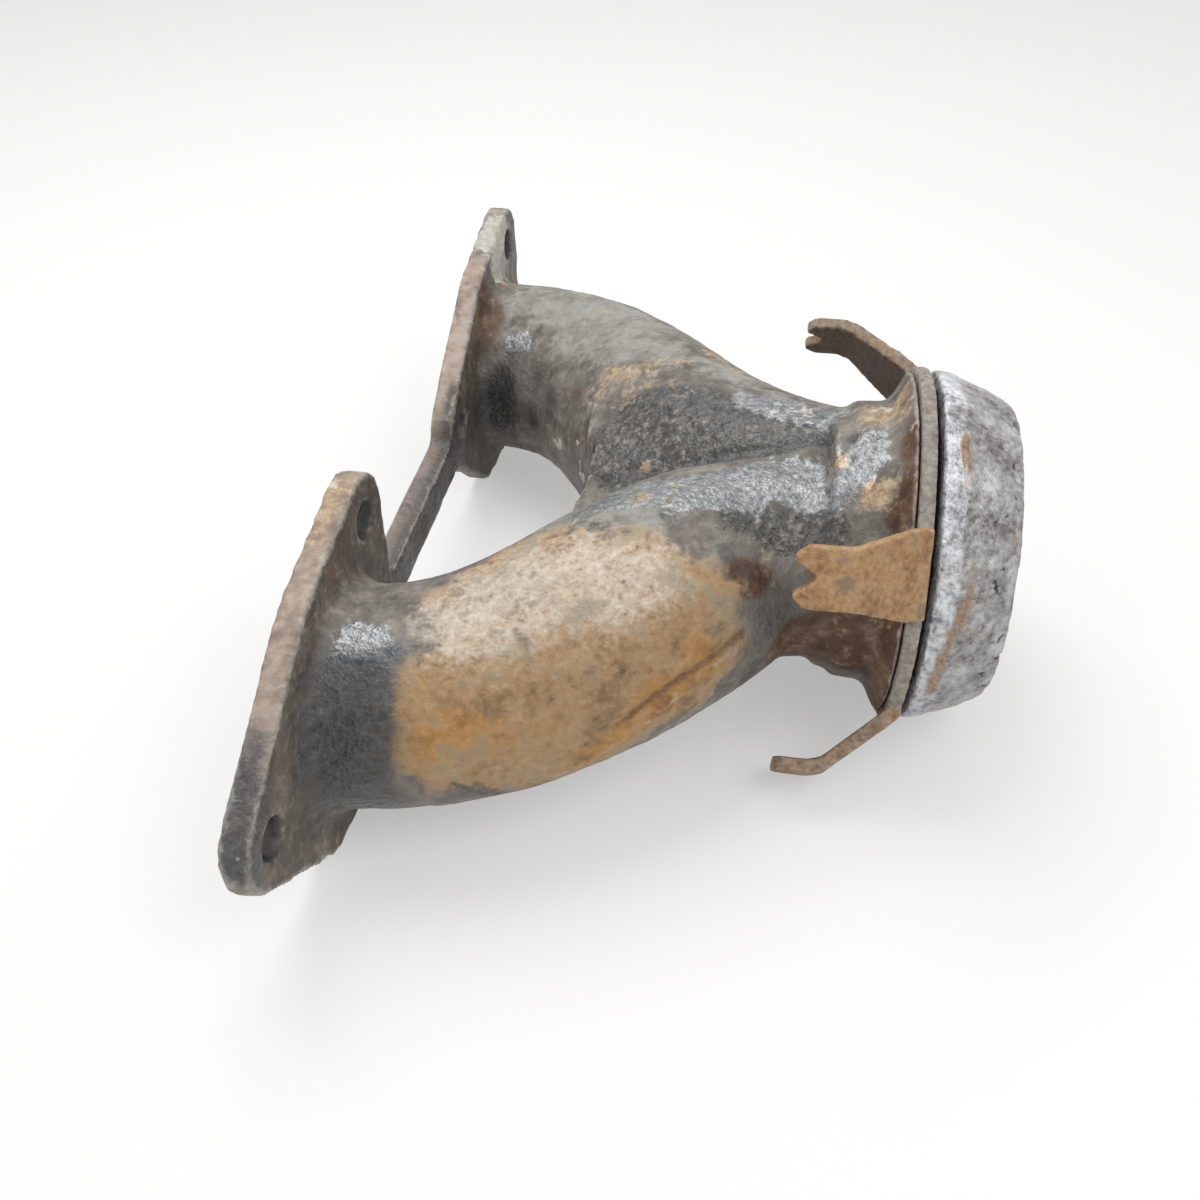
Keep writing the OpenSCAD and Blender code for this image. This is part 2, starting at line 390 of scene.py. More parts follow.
# %% Give the casting its lumps and pits
BROAD, GRAIN, SCAB, PIT, WEB_GRAIN, RIM_WAVE = mm(0.20), mm(0.10), mm(0.10), mm(0.26), mm(0.30), mm(0.40)
machined = 1 - ease(co[:, 0], mm(0.3), mm(1.1))
on_flange = 1 - ease(co[:, 0], FLANGE_T - mm(0.5), FLANGE_T + mm(1.5))
rim = on_flange * (1 - ease(np.abs(no[:, 0]), 0.3, 0.75))
broad = lumps(co, mm(15), 2, 3.1)
grain = lumps(co, mm(3.0), 2, 8.7)
scab = ease(lumps(co, mm(7.5), 3, 21.3), 0.12, 0.4)
pit = ease(lumps(co, mm(4.2), 2, 41.9), 0.36, 0.62)
rough = np.clip(stain(co, WEB), 0, 1)
push = BROAD * broad + GRAIN * grain + SCAB * scab - PIT * pit
push += rough * WEB_GRAIN * lumps(co, mm(2.6), 2, 33.3)
push += rim * (RIM_WAVE * lumps(co, mm(8), 2, 5.5) - RIM_WAVE / 2)
print("lumps and pits of up to", round(float(np.abs(push).max() * 1000), 2), "mm")

# %% Draw the lines
def groove(away, width):
    """1 on a line, falling softly to 0 at about twice its width."""
    return np.exp(-(away / width) ** 2)


FLASH_UP, CREASE_IN, SEAM_IN, FAR_FLASH_UP, FAR_FLASH_SLOPE = mm(0.75), mm(0.55), mm(0.8), mm(0.5), 0.06
crease, seam = along(co, CREASE), along(co, SEAM)
push += FLASH_UP * groove(along(co, FLASH), mm(1.9))
push -= CREASE_IN * groove(crease, mm(1.5))
push -= SEAM_IN * groove(seam, mm(1.6))
far_side = ease(co[:, 1], mm(95), mm(105)) * ease(no[:, 1], 0.2, 0.6) * ease(co[:, 0], mm(9), mm(14))
far_flash = co[:, 2] - mm(1.5) - FAR_FLASH_SLOPE * co[:, 0]
push += FAR_FLASH_UP * far_side * groove(far_flash, mm(1.5))
print("points on the crease:", int((crease < mm(1)).sum()), "and on the seam:", int((seam < mm(1)).sum()))

# %% Sink the hollow beside the band
NOTCH, DIP = mm(1.5), mm(0.5)
push -= NOTCH * near(co, mm(116, 56.5, 42), mm(1.9))
push -= DIP * near(co, mm(116.5, 60, 43), mm(2.6))
print("lowest push", round(float(push.min() * 1000), 2), "mm")

# %% Keep the machined faces flat and move the points
FACE_WEAR, SEAT_WEAR = mm(0.10), mm(0.12)
push = push * (1 - machined) - FACE_WEAR * machined * (1 + broad)
seat = ease(co[:, 0], SEAT_X - mm(1.5), SEAT_X - mm(0.2))
push = push * (1 - seat) - SEAT_WEAR * seat
co = co + no * push[:, None]
put_back(casting, co, *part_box("casting"))
print("casting moved by up to", round(float(np.abs(push).max() * 1000), 2), "mm")

# %% [markdown]
# ## Where each stain lies
# The finish isn't one colour. Soot blackened the roots, orange rust bloomed on the near pipe where water
# sat, the heat left a blue-grey skin towards the neck, and the edges are rubbed pale. One way is a picture
# painted over the mesh; here each stain is a few soft spots in space, stored on the points as an
# attribute. The material breaks its edge up with noise, so that it looks grown. A few spots paint light
# and shade instead of a stain: highlights, a reflection and shade in the crotch.

# %% Helpers that store numbers on the points
def store(piece, name, values):
    """Save one number for each point of a mesh under a name that its material reads."""
    layer = piece.data.attributes.new(name, "FLOAT", "POINT")
    layer.data.foreach_set("value", np.clip(values, 0, 1).astype(np.float32))


def ridges(piece, rounds):
    """How far each point stands out from its neighbourhood: above 0 on edges, below 0 in hollows."""
    co, no = points_of(piece)
    ends = np.zeros(len(piece.data.edges) * 2, np.int64)
    piece.data.edges.foreach_get("vertices", ends)
    a, b = ends.reshape(-1, 2).T
    count = np.bincount(a, minlength=len(co)) + np.bincount(b, minlength=len(co))
    flat = co.copy()
    for _ in range(rounds):
        total = np.zeros_like(flat)
        for axis in range(3):
            total[:, axis] = np.bincount(a, flat[b, axis], len(co))
            total[:, axis] += np.bincount(b, flat[a, axis], len(co))
        flat = total / count[:, None]
    height = ((co - flat) * no).sum(1)
    return height / (4 * np.std(height))


standing = ridges(casting, 6)
print("points on an edge:", int((standing > 0.5).sum()), "and in a hollow:", int((standing < -0.5).sum()))

# %% [markdown]
# ## Rust
# Fresh rust is orange, with a deeper orange where it sits thick along the flash line, and a pale tan on
# top of the near pipe. The tan is partly the rust's own colour and partly a painted highlight where the
# light falls on the top of the pipe. Old rust is brown, and lies under the neck and round the roots.
# Small ochre blooms stand alone on the grey skin.

# %% Place the rust and its painted highlight
ORANGE = [(32, -20, 11, 9, 0.9), (38, -18, 12, 11, 0.9), (46, -16, 10, 12, 0.8), (31, -15, 18, 6, 0.7),
          (38, -10, 22, 9, 0.7), (30, 6, 27, 6, 0.7), (46, -4, 25, 10, 0.7), (57, -6, 20, 12, 0.8),
          (64, -6, 14, 12, 0.8), (54, -13, 4, 11, 0.7), (66, 4, 26, 10, 0.7), (73, 10, 28, 9, 0.8),
          (73, 20, 32, 6, 0.8), (46, 22, 29, 8, 0.9), (60, 18, 32, 9, 0.9), (77, 4, 19, 10, 0.8),
          (84, 16, 27, 7, 0.9), (81, 2, 7, 8, 0.9), (71, -5, 0, 8, 0.8), (88, 9, 13, 7, 0.9),
          (91, 18, 25, 4, 0.8), (34, -21, -3, 6, 0.3), (50, -16, -6, 8, 0.5), (62, -9, -6, 8, 0.9),
          (55, -8, -22, 10, 0.7), (48, 165, 8, 12, 0.8), (72, 134, -6, 11, 0.7), (78, 30, -18, 9, 0.6),
          (36, 16, 28, 6, 0.6), (94, 13, 14, 5, 0.7), (86, 4, 4, 6, 0.7)]
DEEP = [(33, -20, 10, 7, 0.8), (46, -16, 10, 7, 0.6), (71, -5, 1, 6, 0.9), (81, 2, 8, 6, 1.0),
        (64, -8, -3, 6, 0.8), (39, -17, 14, 5, 0.6), (88, 8, 13, 5, 0.9), (57, -11, 9, 6, 0.5),
        (76, 0, 9, 6, 0.7), (84, 10, 18, 5, 0.6), (60, 0, 22, 4, 0.4), (30, -13, 20, 4, 0.5)]
# Tan rust, which on top of the near pipe is also a painted highlight.
TAN_AND_HIGHLIGHT = [(33, -4, 25, 6, 0.7), (38, -1, 27, 7, 0.8), (44, 4, 28, 8, 0.9), (51, 4, 28, 8, 0.8),
       (56, 10, 30, 8, 0.9), (63, 12, 31, 8, 0.9), (48, 11, 30, 7, 0.8), (72, 11, 29, 6, 0.7),
       (45, 22, 29, 7, 0.7), (74, 19, 32, 6, 0.9), (67, 5, 27, 5, 0.5), (36, 12, 28, 6, 0.6),
       (28, 4, 27, 4, 0.6), (60, 20, 33, 7, 0.6), (80, 14, 28, 5, 0.5), (44, -4, 26, 5, 0.5)]
BROWN = [(112, 30, 24, 5, 0.6), (104, 24, 4, 7, 0.6), (122, 26, 14, 8, 1.0), (116, 28, 5, 8, 1.0),
         (125, 26, 2, 9, 1.0), (129, 18, 14, 7, 1.0), (107, 28, 8, 6, 0.7), (128, 37, 43, 3.5, 1.0),
         (128, 32, 40, 4, 1.0), (126, 36, 36, 4, 0.9), (110, 29, 0, 8, 0.9), (9, 137, 23, 6, 0.9),
         (8, 129, 17, 5, 0.7), (7, 142, 30, 6, 0.7), (10, 155, 26, 6, 0.6), (93, 22, 27, 5, 0.8),
         (91, 13, 18, 5, 0.6), (6, 14, 36, 7, 0.6), (6, 4, 31, 6, 0.4), (119, 60, -22, 16, 0.8),
         (126, 66, 47, 3, 0.4), (129, 48, 50, 4, 0.9), (60, 20, -20, 10, 0.6), (45, 150, -18, 14, 0.6),
         (125, 90, 10, 10, 0.9), (98, 24, 25, 5, 0.8), (42, 100, 22, 5, 0.7), (44, 90, 14, 5, 0.6),
         (3, 60, -3, 18, 0.5)]
OCHRE = [(122, 40, 38, 3.5, 0.8), (79, 27, 34, 2, 0.5), (56, 62, 20, 2.5, 0.5), (68, 63, 25, 2, 0.5),
         (69, 37, 35, 2.6, 1.0), (77, 41, 36, 1.7, 0.8), (76, 35, 36, 1.6, 0.8),
         (113, 50, 39, 3.2, 1.0), (53, 100, 29, 4, 0.8), (50, 95, 26, 3.5, 0.7), (59, 87, 30, 4, 0.6),
         (64, 98, 33, 5, 0.6), (73, 98, 34, 4, 0.6), (65, 89, 32, 2.6, 0.7), (72, 87, 34, 2.6, 0.7),
         (80, 110, 31, 6, 0.8), (88, 99, 33, 5, 0.7), (45, 134, 29, 3, 0.5), (77, 63, 29, 2.0, 0.5),
         (66, 62, 24, 2.6, 0.5), (2, -27, 24, 3, 0.4), (2, -8, 33, 3, 0.5), (127, 60, 49, 4, 0.9),
         (122, 66, 45, 5, 0.9), (127, 70, 47, 4, 0.7), (119, 60, 44, 4, 0.5), (125, 42, 40, 3, 0.8),
         (120, 41, 38, 2.4, 0.8), (2, 25, 40, 5, 0.9), (1, 11, 38, 5, 0.7), (2, 18, 39, 4, 0.7),
         (10, 155, 26, 4, 0.6), (54, 118, 31, 3, 0.4), (62, 112, 33, 3, 0.4), (58, 96, 31, 4, 0.6),
         (30, 158, 20, 5, 0.6), (98, 27, 28, 2.6, 0.5), (101, 25, 23, 2.2, 0.4)]
RUST_AND_HIGHLIGHT = {"orange": ORANGE, "deep": DEEP, "tan": TAN_AND_HIGHLIGHT, "brown": BROWN, "ochre": OCHRE}
print({name: len(spots) for name, spots in RUST_AND_HIGHLIGHT.items()}, "spots of rust")

# %% [markdown]
# ## What the heat left, and painted highlights
# Hot gas keeps rust away: the far pipe is covered in a dull grey-green ash, and a harder blue-grey skin
# with a shine lies along the top of the near pipe and on the neck. The grey at the near root's top and on
# the flat of the web by the neck is a painted highlight, and the ash on the far flange's front face is a
# painted reflection.

# %% Place the ash, the grey skin and their painted light
# Ash; the three spots at x = 6 to 7 mm, on the far flange's front face, are a painted reflection.
ASH_AND_REFLECTION = [(24, 144, 27, 9, 0.9), (35, 141, 28, 10, 1.0), (44, 135, 29, 10, 1.0), (53, 128, 30, 10, 0.9),
       (60, 117, 32, 10, 0.9), (40, 122, 27, 10, 0.8), (50, 110, 29, 8, 0.7), (68, 106, 33, 8, 0.8),
       (80, 98, 34, 8, 0.8), (90, 90, 36, 7, 0.8), (98, 80, 38, 6, 0.8), (7, 166, 40, 9, 1.0),
       (50, 34, 28, 7, 0.7), (62, 30, 34, 7, 0.7), (72, 29, 35, 6, 0.6), (16, 141, 26, 6, 0.7),
       (112, 72, 40, 6, 0.8), (30, 160, 16, 12, 0.7), (62, 140, 10, 12, 0.6), (6.6, 160, 34, 9, 1.4),
       (6, 172, 30, 8, 1.0)]
# Grey skin; the four spots from (97, 74, 38) to (89, 78, 38), on the flat of the web, and the last three,
# at the near root's top, are a painted highlight.
GREY_AND_HIGHLIGHT = [(62, 38, 32, 6, 0.7), (77, 36, 35, 5, 0.8), (84, 40, 36, 6, 0.9), (91, 44, 36, 7, 0.9),
        (98, 48, 37, 7, 1.0), (106, 49, 38, 7, 1.0), (112, 47, 39, 5.5, 1.0), (106, 42, 36, 5, 0.8),
        (113, 43, 38, 5, 0.9), (68, 37, 34, 5, 0.7), (74, 43, 35, 6, 0.8), (92, 38, 36, 5, 0.5),
        (120.5, 48, 42, 4, 1.0), (120.5, 55, 43.5, 4, 1.0), (120, 42, 39, 3, 0.6), (97, 74, 38, 5, 1.0),
        (105, 71, 38, 5, 1.0), (112, 69, 39, 5, 0.9), (89, 78, 38, 4, 0.9), (18, 129, 19, 4, 0.7),
        (23, 128, 21, 4, 0.7), (56, 33, 30, 5, 0.6), (15, -6, 25, 5, 0.9), (21, -9, 24, 4.5, 0.9),
        (13, -10, 24, 4, 0.6)]
HEAT_AND_PAINTED_LIGHT = {"ash": ASH_AND_REFLECTION, "grey": GREY_AND_HIGHLIGHT, "web": WEB}
print({name: len(spots) for name, spots in HEAT_AND_PAINTED_LIGHT.items()}, "spots of heat")

# %% [markdown]
# ## Soot, drips and painted light
# Soot gathers at the roots, in the corners and along the bar; in the crotch, on the far pipe's side that
# faces the near pipe, it is painted shade as well as soot. Small dark smudges lie over the orange, and
# chalky drips and scale stand where water ran: in the crotch, on the far ear and on the neck. A few chalk
# spots are painted light: a reflection on the far flange's front face and a highlight on the web's flat.

# %% Place the soot, the chalk and their painted light
# The spots from (16, 124, 11) to (28, 118, 16) lie in the crotch, on the far pipe's side that faces the
# near pipe; there they paint shade as well as soot.
SOOT_AND_SHADE = [(12, -14, 22, 6, 0.9), (20, -14, 21, 5.5, 0.9), (13, -21, 14, 7, 1.0), (21, -20, 14, 5.5, 1.0),
        (12, -25, 5, 7, 1.0), (19, -24, 6, 6.5, 1.0), (13, -24, -7, 8, 0.9), (21, -23, -6, 6, 0.8),
        (19, 3, 26, 3.5, 0.4), (24, -8, 24, 2.5, 0.5), (98, 21, 20, 5, 0.3), (101, 21, 13, 6, 0.35),
        (106, 26, 13, 5, 0.3), (96, 15, 11, 4, 0.3), (104, 28, 22, 5, 0.35), (16, 124, 11, 5, 0.8),
        (14, 122, 3, 7, 0.9), (12, 123, -4, 7, 0.9), (19, 127, 17, 3, 0.5), (27, 114, 3, 6, 0.7),
        (34, 108, 14, 5, 0.6), (45, 88, 6, 5, 0.6), (42, 98, 17, 4, 0.4), (28, 118, 16, 5, 0.6),
        (116, 56.5, 42, 1.5, 0.9), (15, 160, -18, 10, 0.9), (14, 10, -24, 10, 0.9), (4, -54, 6, 6, 0.9),
        (2, -47, 13, 6, 1.0), (2, -39, 18, 5, 0.9), (2, -32, 21, 4, 0.5), (5, 48, 0, 12, 0.6),
        (5, 72, 0, 13, 0.65), (5, 95, 2, 12, 0.6), (18, 172, 5, 9, 0.6), (100, 95, -2, 9, 0.5),
        (126, 33, 33, 3, 0.5), (37, -20, -8, 7, 0.35), (48, -14, -12, 7, 0.3)]
SMUDGE = [(50, -3, 25.5, 2.2, 0.8), (48, -1, 26.5, 1.3, 0.6), (56, -3, 23, 2.4, 0.4),
          (78, 27, 35, 2.6, 0.7), (90, 25, 31, 2.6, 0.8), (94, 24, 27, 2.8, 0.7), (64, -4, 18, 3, 0.5),
          (72, 0, 17, 3, 0.5), (40, 14, 28, 2.6, 0.5), (70, 16, 31, 2.4, 0.4), (61, 5, 28, 1.8, 0.4),
          (44, 14, 29, 2.8, 0.5), (28, 12, 26, 3, 0.7), (24, 6, 26, 3, 0.6), (86, 27, 34, 2.6, 0.6),
          (68, 25, 34, 2.4, 0.5), (110, 34, 27, 4, 0.6), (115, 41, 37, 2.4, 0.6)]
# The first six spots aren't chalk: the first three paint a reflection on the far flange's front face, the
# next three a highlight on the flat of the web by the neck.
CHALK_AND_PAINTED_LIGHT = [(7, 162, 36, 7, 1.0), (7, 157, 30, 5, 0.9), (6, 171, 37, 5, 0.9), (105, 71.5, 38, 3.4, 0.62),
         (98, 74, 38, 3.4, 0.58), (111, 69.5, 39, 3, 0.55), (122, 67, 45, 3.5, 0.6),
         (118, 50, 42, 2.5, 0.4), (38, 98, 6, 1.8, 0.9), (46, 85, 9, 1.2, 0.9), (47, 83, 6, 1.6, 1.0),
         (45, 89, 13, 1.2, 0.8), (36, 101, 4, 1.9, 0.9), (37, 103, 9, 1.3, 0.8), (34, 103, 1, 1.4, 0.7),
         (48, 82, 15, 1.6, 0.7), (47, 84, 5, 1.8, 0.9), (47, 88, 10, 1.2, 0.7), (46, 88, -2, 1.4, 0.7),
         (2, 26, 41, 2.4, 0.7), (1, 159, 37, 5, 0.6), (119, 42, 38, 1.3, 0.8), (43, 30, 28, 1.6, 0.5),
         (128, 50, 49, 1.6, 0.5), (64, 89, 32, 1.2, 0.5), (73, 87, 34, 1.2, 0.5), (4, -52, 8, 1.5, 0.6),
         (60, 100, 32, 1.3, 0.4), (16, 142, 26, 2, 0.4), (122, 45, 42, 1.4, 0.5)]
DIRT_AND_PAINTED_LIGHT = {"soot": SOOT_AND_SHADE, "smudge": SMUDGE, "chalk": CHALK_AND_PAINTED_LIGHT}
print({name: len(spots) for name, spots in DIRT_AND_PAINTED_LIGHT.items()}, "spots of dirt")

# %% [markdown]
# ## Storing the stains
# The tables become attributes of the casting. Old rust also lies all round the neck behind the ring, so a
# band of it is added to its spots, less of it on top.

# %% Store the stains on the casting
co, no = points_of(casting)
band = ease(co[:, 0], mm(123.5), mm(127.5)) * (0.8 - 0.4 * ease(co[:, 2], mm(18), mm(42)))
for name, spots in {**RUST_AND_HIGHLIGHT, **HEAT_AND_PAINTED_LIGHT, **DIRT_AND_PAINTED_LIGHT}.items():
    store(casting, name, stain(co, spots) + (band if name == "brown" else 0))
store(casting, "crease", groove(crease, mm(1.4)))
store(casting, "seam", groove(seam, mm(1.5)))
print("stains stored:", [a.name for a in casting.data.attributes if a.data_type == "FLOAT"])

# %% [markdown]
# ## Edges, faces and ducts
# Some finishes follow the shape and need no spots: the narrow rim of a flange is rubbed pale, its front
# and the bar stay brown, edges that stand out are worn, hollows are painted darker, and the ducts and the
# bolt holes are black inside. Each is worked out from where a point lies and where it faces.

# %% Store the rim, the faces and the edges
thin = 1 - ease(co[:, 0], FLANGE_T - mm(0.6), FLANGE_T + mm(0.4))
front = (1 - ease(co[:, 0], FLANGE_T + mm(1), FLANGE_T + mm(3))) * ease(co[:, 0], mm(2), mm(4))
between = ease(co[:, 1], mm(33), mm(38)) * (1 - ease(co[:, 1], mm(104), mm(110)))
tie = between * ease(co[:, 0], mm(2.6), mm(4))
sideways = (1 - ease(np.abs(no[:, 0]), 0.35, 0.8)) * ease(no[:, 2], -0.4, 0.1)
store(casting, "rim", thin * sideways * (1 - tie))
store(casting, "face", front * np.maximum(ease(no[:, 0], 0.3, 0.7), tie))
store(casting, "edge", standing)
store(casting, "hollow", -standing)
print("points on a rim or a front:", int((thin + front > 0.5).sum()))

# %% Store the ducts and the bolt holes
BOLT_TILT = math.radians(20)
DUCT_DEPTH = mm(16)


def bolt_holes(name):
    """The centres of a flange's two bolt holes, half the pattern's pitch to each side of its middle."""
    half = mm(MOUNTS[name]["dims"]["pcd_mm"]) / 2
    arm = Vector((0, math.cos(BOLT_TILT), math.sin(BOLT_TILT))) * half
    return [place(name) - arm, place(name) + arm]


holes = [(port, PORT_R + mm(0.7)) for port in PORTS]
hole_r = mm(MOUNTS["near_bolts"]["dims"]["hole_r_mm"]) + mm(0.5)
for name in ("near_bolts", "far_bolts"):
    holes += [(centre, hole_r) for centre in bolt_holes(name)]
inside = np.zeros(len(co))
for centre, reach in holes:
    away = np.hypot(co[:, 1] - centre.y, co[:, 2] - centre.z)
    inside = np.maximum(inside, 1 - ease(away, reach - mm(0.5), reach + mm(0.3)))
store(casting, "duct", inside * (co[:, 0] < DUCT_DEPTH))
print(len(holes), "holes darkened:", [tuple(round(v * 1000, 1) for v in centre) for centre, _ in holes])

# %% [markdown]
# ## Nodes for finishes
# Each finish is a small graph of nodes. A class keeps the graph of one material and adds a node at a
# time, so that the recipes below read as a painter's notes: grain of a size, a stain with a broken
# edge, one coat over another. All patterns read Object coordinates, in metres. A plain function for each
# node would do as well, but would need the same tree handed to it every time.

# %% A palette that builds a graph
class Finish:
    """One material and the handful of moves that its recipe needs."""

    def __init__(self, name):
        self.mat = bpy.data.materials.new(name)
        self.mat.use_nodes = True
        self.shader = self.mat.node_tree.nodes["Principled BSDF"]
        self.where = self.add("ShaderNodeTexCoord").outputs["Object"]

    def add(self, kind, plugs=None, **settings):
        """Add a node, set it up and plug values or other nodes' outputs into it."""
        made = self.mat.node_tree.nodes.new(kind)
        for key, value in settings.items():
            setattr(made, key, value)
        for key, value in (plugs or {}).items():
            if isinstance(value, bpy.types.NodeSocket):
                self.mat.node_tree.links.new(value, made.inputs[key])
            else:
                made.inputs[key].default_value = value
        return made

    def grain(self, size, detail, rough, warp=0.0, stretch=None):
        """Noise whose features are about size millimetres across."""
        where = self.where
        if stretch:
            where = self.add("ShaderNodeMapping", {"Vector": where, "Scale": stretch}).outputs[0]
        return self.add("ShaderNodeTexNoise", {"Vector": where, "Scale": 1000 / size, "Detail": detail,
                                               "Roughness": rough, "Distortion": warp}).outputs["Fac"]

    def stored(self, name):
        """A number that was stored on the points."""
        return self.add("ShaderNodeAttribute", attribute_name=name).outputs["Fac"]

    def sums(self, first, second, how="ADD"):
        """The sum of two numbers, or what another operation makes of them."""
        return self.add("ShaderNodeMath", {0: first, 1: second}, operation=how).outputs[0]

    def times(self, first, second):
        """The product of two numbers."""
        return self.sums(first, second, "MULTIPLY")

    def step(self, value, low, high, top=1.0, bottom=0.0):
        """A smooth rise from bottom to top as the value goes from low to high."""
        return self.add("ShaderNodeMapRange", {"Value": value, "From Min": low, "From Max": high,
                                               "To Min": bottom, "To Max": top},
                        interpolation_type="SMOOTHSTEP").outputs["Result"]

    def shades(self, value, *stops):
        """Colours along a value: each stop is a position and a colour."""
        ramp = self.add("ShaderNodeValToRGB", {"Fac": value})
        for number, (level, colour) in enumerate(stops):
            dots = ramp.color_ramp.elements
            dot = dots[number] if number < 2 else dots.new(level)
            dot.position = level
            dot.color = (*colour, 1)
        return ramp.outputs["Color"]

    def coat(self, amount, under, over):
        """Lay one colour over another."""
        return self.add("ShaderNodeMix", {0: amount, 6: under, 7: over}, data_type="RGBA").outputs[2]

    def blend(self, *parts):
        """A weighted sum of numbers, each given as a number and its weight."""
        total = None
        for value, weight in parts:
            share = self.times(value, weight)
            total = share if total is None else self.sums(total, share)
        return total

    def broken(self, name, ragged, low, high):
        """A stored stain whose edge is broken up by a ragged number around zero."""
        return self.step(self.sums(self.stored(name), ragged), low, high)

    def relief(self, height):
        """Turn a height in millimetres into the direction that each point faces."""
        return self.add("ShaderNodeBump", {"Height": height, "Distance": 0.001}).outputs["Normal"]

    def finish(self, colour, roughness, normal, metallic=0.0):
        """Plug the recipe into the shader."""
        plugs = {"Base Color": colour, "Roughness": roughness, "Normal": normal, "Metallic": metallic}
        for key, value in plugs.items():
            if isinstance(value, bpy.types.NodeSocket):
                self.mat.node_tree.links.new(value, self.shader.inputs[key])
            else:
                self.shader.inputs[key].default_value = value
        print(self.mat.name, "has", len(self.mat.node_tree.nodes), "nodes")
        return self.mat

# %% [markdown]
# ## The cast iron's finish
# The recipe works from the metal out: metal, ash, coarse web, grey skin, rust, soot, chalk and wear. One
# noise would look like one stain everywhere, so grains of four sizes are mixed in different shares. Two
# of the mixes, ragged and fuzzy, lie around zero and are added to a stored stain to break up its edge.

# %% Mix the iron's grains
iron = Finish("rusted_cast_iron")
patch = iron.grain(13, 3, 0.6)
mottle = iron.grain(4.5, 4, 0.6, 0.4)
grit = iron.grain(1.8, 3, 0.55)
spark = iron.grain(0.8, 2, 0.5)
ragged = iron.sums(iron.blend((patch, 0.8), (mottle, 1.2), (grit, 0.6)), 1.3, "SUBTRACT")
fuzzy = iron.sums(iron.blend((mottle, 1.1), (grit, 1.2), (spark, 0.5)), 1.4, "SUBTRACT")
tone = iron.blend((patch, 0.42), (mottle, 0.38), (grit, 0.20))
fine = iron.blend((mottle, 0.2), (grit, 0.5), (spark, 0.3))
print(iron.mat.name, "starts with", len(iron.mat.node_tree.nodes), "nodes of grain")

# %% [markdown]
# ## The iron's colours
# Each colour is a short ramp from its dark grains to its light ones. Broad colours follow the tone, which
# is mostly large mottles, and crisp ones such as tan, chalk and soot follow the fine grain.

# %% Mix the colours of the metal
skin = iron.shades(tone, (0.38, (0.085, 0.074, 0.064)), (0.5, (0.185, 0.165, 0.142)),
                   (0.62, (0.31, 0.285, 0.25)))
ash = iron.shades(tone, (0.37, (0.15, 0.14, 0.118)), (0.5, (0.27, 0.262, 0.232)),
                  (0.63, (0.37, 0.37, 0.35)))
grey = iron.shades(fine, (0.36, (0.12, 0.123, 0.125)), (0.50, (0.235, 0.243, 0.248)),
                   (0.66, (0.40, 0.415, 0.43)))
coarse = iron.shades(fine, (0.38, (0.016, 0.015, 0.013)), (0.5, (0.062, 0.058, 0.050)),
                     (0.64, (0.17, 0.16, 0.14)))
worn_rim = iron.shades(tone, (0.38, (0.20, 0.155, 0.13)), (0.5, (0.40, 0.30, 0.24)),
                       (0.62, (0.56, 0.46, 0.39)))
face_brown = iron.shades(tone, (0.37, (0.060, 0.048, 0.040)), (0.5, (0.125, 0.103, 0.086)),
                         (0.63, (0.25, 0.205, 0.165)))
print("metal, ash, grey skin, web, rim and face are mixed")

# %% Mix the colours of rust and dirt
brown = iron.shades(tone, (0.38, (0.036, 0.015, 0.008)), (0.5, (0.105, 0.050, 0.025)),
                    (0.62, (0.22, 0.132, 0.080)))
orange = iron.shades(tone, (0.39, (0.22, 0.135, 0.066)), (0.47, (0.36, 0.225, 0.110)),
                     (0.54, (0.43, 0.275, 0.145)), (0.62, (0.52, 0.38, 0.24)))
deep = iron.shades(tone, (0.39, (0.23, 0.105, 0.034)), (0.5, (0.43, 0.225, 0.070)),
                   (0.61, (0.56, 0.33, 0.13)))
# The tan's light end is partly a painted highlight.
tan = iron.shades(fine, (0.36, (0.45, 0.345, 0.25)), (0.50, (0.57, 0.475, 0.375)),
                  (0.64, (0.70, 0.635, 0.55)))
ochre = iron.shades(fine, (0.36, (0.24, 0.155, 0.085)), (0.52, (0.44, 0.32, 0.20)),
                    (0.66, (0.58, 0.47, 0.34)))
olive = iron.shades(tone, (0.40, (0.16, 0.13, 0.085)), (0.60, (0.30, 0.25, 0.165)))
# Pale chalk, also used for the painted reflection and highlight.
chalky_and_painted_light = iron.shades(fine, (0.38, (0.40, 0.38, 0.33)), (0.62, (0.68, 0.65, 0.58)))
black = iron.shades(fine, (0.36, (0.016, 0.016, 0.017)), (0.62, (0.078, 0.079, 0.083)))
print("brown, orange, deep orange, tan, ochre, olive, chalk and black are mixed")

# %% [markdown]
# ## The iron's coats
# The coats go on from the oldest to the newest. Each is laid over what is there by the amount of its
# stain, so that a lower coat shows through wherever the ragged edge of an upper one breaks.

# %% Lay the metal's coats
is_web = iron.broken("web", ragged, 0.36, 0.60)
is_grey_and_highlight = iron.broken("grey", ragged, 0.32, 0.66)
colour = iron.coat(iron.stored("face"), skin, face_brown)
colour = iron.coat(iron.times(iron.stored("rim"), 0.9), colour, worn_rim)
# The ash coat includes a painted reflection on the far flange's front face.
colour = iron.coat(iron.broken("ash", ragged, 0.15, 0.85), colour, ash)
colour = iron.coat(is_web, colour, coarse)
# The grey coat includes a painted highlight at the near root's top and on the flat of the web.
colour = iron.coat(is_grey_and_highlight, colour, grey)
print("metal, ash, web and grey skin laid")

